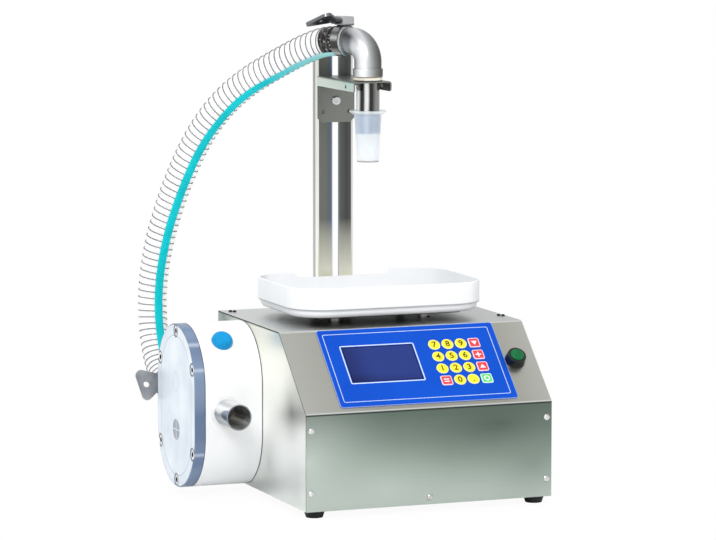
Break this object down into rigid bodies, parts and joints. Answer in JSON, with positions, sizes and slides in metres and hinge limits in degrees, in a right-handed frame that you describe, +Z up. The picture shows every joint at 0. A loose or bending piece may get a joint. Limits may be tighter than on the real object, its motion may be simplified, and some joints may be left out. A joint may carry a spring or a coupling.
{
  "type": "filling machine",
  "caption": "Benchtop honey filler: cabinet with sloped keypad panel, side gear pump, hose over the back to a nozzle on a slotted post, and a weighing tray under it",
  "frame": {"origin": "On the floor, under the middle of the machine's bounding box without the hose.", "axes": "+X to the right as the operator faces the control panel, +Y away from the operator, +Z up."},
  "size_m": [0.4436, 0.4806, 0.6123],
  "materials": {
    "cabinet_steel": "brushed stainless sheet",
    "post_steel": "brushed stainless channel",
    "bracket_steel": "brushed stainless sheet",
    "screw_steel": "bright screws",
    "pipe_steel": "polished stainless tube",
    "elbow_steel": "satin cast stainless",
    "clamp_steel": "bright band",
    "gear_steel": "machined steel",
    "foot_rubber": "black rubber",
    "seal_rubber": "dark rubber",
    "overlay_blue": "blue face plate",
    "display_dark": "dark pane",
    "keys_yellow": "yellow keys",
    "keys_red": "red keys",
    "keys_green": "green key",
    "button_black": "black bezel",
    "button_green": "green cap",
    "board_green": "circuit board",
    "supply_grey": "grey case",
    "motor_grey": "cast housing",
    "pump_white": "white machined plastic",
    "cover_clear": "clear plate",
    "plug_blue": "blue plug",
    "tray_white": "white moulded tray",
    "scale_steel": "folded steel",
    "cell_aluminium": "bare aluminium",
    "platform_black": "black plate",
    "socket_black": "black socket",
    "knob_black": "black knob",
    "ring_cream": "cream ring",
    "tip_clear": "milky nozzle",
    "wing_grey": "grey wing",
    "hose_clear": "clear hose with wire and stripe"
  },
  "bodies": {
    "cabinet": {"cabinet_shell": "cabinet_steel", "left_side_panel": "cabinet_steel", "right_side_panel": "cabinet_steel", "back_panel": "cabinet_steel", "base_plate": "cabinet_steel", "panel_screws": "screw_steel", "rubber_feet": "foot_rubber", "control_overlay": "overlay_blue", "display_window": "display_dark", "control_board": "board_green", "start_button_housing": "button_black", "scale_bridge": "scale_steel", "load_cell": "cell_aluminium", "load_spider": "scale_steel", "weighing_platform": "platform_black", "pump_housing": "pump_white", "pump_cover": "cover_clear", "cover_gasket": "seal_rubber", "cover_bolts": "screw_steel", "shaft_seal": "seal_rubber", "port_tubes": "pipe_steel", "housing_plug": "plug_blue", "gearmotor": "motor_grey", "power_supply": "supply_grey", "power_inlet": "socket_black", "post": "post_steel", "lower_clamp_band": "clamp_steel", "hose": "hose_clear"},
    "nozzle_carriage": {"nozzle_bracket": "bracket_steel", "clamp_bolt": "screw_steel", "elbow": "elbow_steel", "sealing_ring": "ring_cream", "nozzle_pipe": "pipe_steel", "upper_clamp_band": "clamp_steel"},
    "clamp_knob": {"clamp_knob": "knob_black"},
    "nozzle_tip": {"nozzle_tip": "tip_clear"},
    "upper_clamp_key": {"upper_clamp_key": "wing_grey"},
    "lower_clamp_key": {"lower_clamp_key": "wing_grey"},
    "drive_rotor": {"drive_gear": "gear_steel", "drive_shaft": "gear_steel"},
    "driven_rotor": {"driven_gear": "gear_steel"},
    "start_button_cap": {"start_button_cap": "button_green"},
    "power_rocker": {"power_rocker": "socket_black"},
    "weighing_tray": {"weighing_tray": "tray_white"},
    "key_01": {"key_01": "keys_red"},
    "key_02": {"key_02": "keys_yellow"},
    "key_03": {"key_03": "keys_yellow"},
    "key_04": {"key_04": "keys_green"},
    "key_05": {"key_05": "keys_yellow"},
    "key_06": {"key_06": "keys_yellow"},
    "key_07": {"key_07": "keys_yellow"},
    "key_08": {"key_08": "keys_red"},
    "key_09": {"key_09": "keys_yellow"},
    "key_10": {"key_10": "keys_yellow"},
    "key_11": {"key_11": "keys_yellow"},
    "key_12": {"key_12": "keys_red"},
    "key_13": {"key_13": "keys_yellow"},
    "key_14": {"key_14": "keys_yellow"},
    "key_15": {"key_15": "keys_yellow"},
    "key_16": {"key_16": "keys_red"}
  },
  "joints": [
    {"name": "nozzle_height", "type": "slide", "parent": "cabinet", "child": "nozzle_carriage", "axis": [0, 0, 1], "range_m": [-0.12, 0.012], "deforming": ["hose"]},
    {"name": "clamp_knob_turn", "type": "hinge", "parent": "nozzle_carriage", "child": "clamp_knob", "pos_m": [0.05678, 0.15317, 0.491], "axis": [0, 1, 0], "range_deg": [-360, 0]},
    {"name": "nozzle_tip_pull", "type": "slide", "parent": "nozzle_carriage", "child": "nozzle_tip", "axis": [0, 0, -1], "range_m": [0, 0.045]},
    {"name": "upper_clamp_screw", "type": "hinge", "parent": "nozzle_carriage", "child": "upper_clamp_key", "pos_m": [0.03874, 0.07301, 0.60021], "axis": [-0.8817, -0.4688, 0.0523], "continuous": true},
    {"name": "lower_clamp_screw", "type": "hinge", "parent": "cabinet", "child": "lower_clamp_key", "pos_m": [-0.16313, 0.14547, 0.14008], "axis": [-0.9744, 0, -0.225], "continuous": true},
    {"name": "drive_spin", "type": "hinge", "parent": "cabinet", "child": "drive_rotor", "pos_m": [-0.15972, 0.05517, 0.0835], "axis": [1, 0, 0], "continuous": true},
    {"name": "driven_spin", "type": "hinge", "parent": "cabinet", "child": "driven_rotor", "pos_m": [-0.15972, 0.05517, 0.1455], "axis": [1, 0, 0], "continuous": true},
    {"name": "start_button_press", "type": "slide", "parent": "cabinet", "child": "start_button_cap", "axis": [0, 0.6842, -0.7293], "range_m": [0, 0.003], "stiffness_N_per_m": 400},
    {"name": "power_rocker_tilt", "type": "hinge", "parent": "cabinet", "child": "power_rocker", "pos_m": [0.17478, 0.15017, 0.08], "axis": [1, 0, 0], "range_deg": [-20, 0]},
    {"name": "tray_lift", "type": "slide", "parent": "cabinet", "child": "weighing_tray", "axis": [0, 0, 1], "range_m": [0, 0.05]},
    {"name": "key_01_press", "type": "slide", "parent": "cabinet", "child": "key_01", "axis": [0, 0.6842, -0.7293], "range_m": [0, 0.0005], "stiffness_N_per_m": 1200},
    {"name": "key_02_press", "type": "slide", "parent": "cabinet", "child": "key_02", "axis": [0, 0.6842, -0.7293], "range_m": [0, 0.0005], "stiffness_N_per_m": 1200},
    {"name": "key_03_press", "type": "slide", "parent": "cabinet", "child": "key_03", "axis": [0, 0.6842, -0.7293], "range_m": [0, 0.0005], "stiffness_N_per_m": 1200},
    {"name": "key_04_press", "type": "slide", "parent": "cabinet", "child": "key_04", "axis": [0, 0.6842, -0.7293], "range_m": [0, 0.0005], "stiffness_N_per_m": 1200},
    {"name": "key_05_press", "type": "slide", "parent": "cabinet", "child": "key_05", "axis": [0, 0.6842, -0.7293], "range_m": [0, 0.0005], "stiffness_N_per_m": 1200},
    {"name": "key_06_press", "type": "slide", "parent": "cabinet", "child": "key_06", "axis": [0, 0.6842, -0.7293], "range_m": [0, 0.0005], "stiffness_N_per_m": 1200},
    {"name": "key_07_press", "type": "slide", "parent": "cabinet", "child": "key_07", "axis": [0, 0.6842, -0.7293], "range_m": [0, 0.0005], "stiffness_N_per_m": 1200},
    {"name": "key_08_press", "type": "slide", "parent": "cabinet", "child": "key_08", "axis": [0, 0.6842, -0.7293], "range_m": [0, 0.0005], "stiffness_N_per_m": 1200},
    {"name": "key_09_press", "type": "slide", "parent": "cabinet", "child": "key_09", "axis": [0, 0.6842, -0.7293], "range_m": [0, 0.0005], "stiffness_N_per_m": 1200},
    {"name": "key_10_press", "type": "slide", "parent": "cabinet", "child": "key_10", "axis": [0, 0.6842, -0.7293], "range_m": [0, 0.0005], "stiffness_N_per_m": 1200},
    {"name": "key_11_press", "type": "slide", "parent": "cabinet", "child": "key_11", "axis": [0, 0.6842, -0.7293], "range_m": [0, 0.0005], "stiffness_N_per_m": 1200},
    {"name": "key_12_press", "type": "slide", "parent": "cabinet", "child": "key_12", "axis": [0, 0.6842, -0.7293], "range_m": [0, 0.0005], "stiffness_N_per_m": 1200},
    {"name": "key_13_press", "type": "slide", "parent": "cabinet", "child": "key_13", "axis": [0, 0.6842, -0.7293], "range_m": [0, 0.0005], "stiffness_N_per_m": 1200},
    {"name": "key_14_press", "type": "slide", "parent": "cabinet", "child": "key_14", "axis": [0, 0.6842, -0.7293], "range_m": [0, 0.0005], "stiffness_N_per_m": 1200},
    {"name": "key_15_press", "type": "slide", "parent": "cabinet", "child": "key_15", "axis": [0, 0.6842, -0.7293], "range_m": [0, 0.0005], "stiffness_N_per_m": 1200},
    {"name": "key_16_press", "type": "slide", "parent": "cabinet", "child": "key_16", "axis": [0, 0.6842, -0.7293], "range_m": [0, 0.0005], "stiffness_N_per_m": 1200}
  ],
  "couplings": [
    {"joint": "driven_spin", "follows": "drive_spin", "ratio": -1}
  ]
}
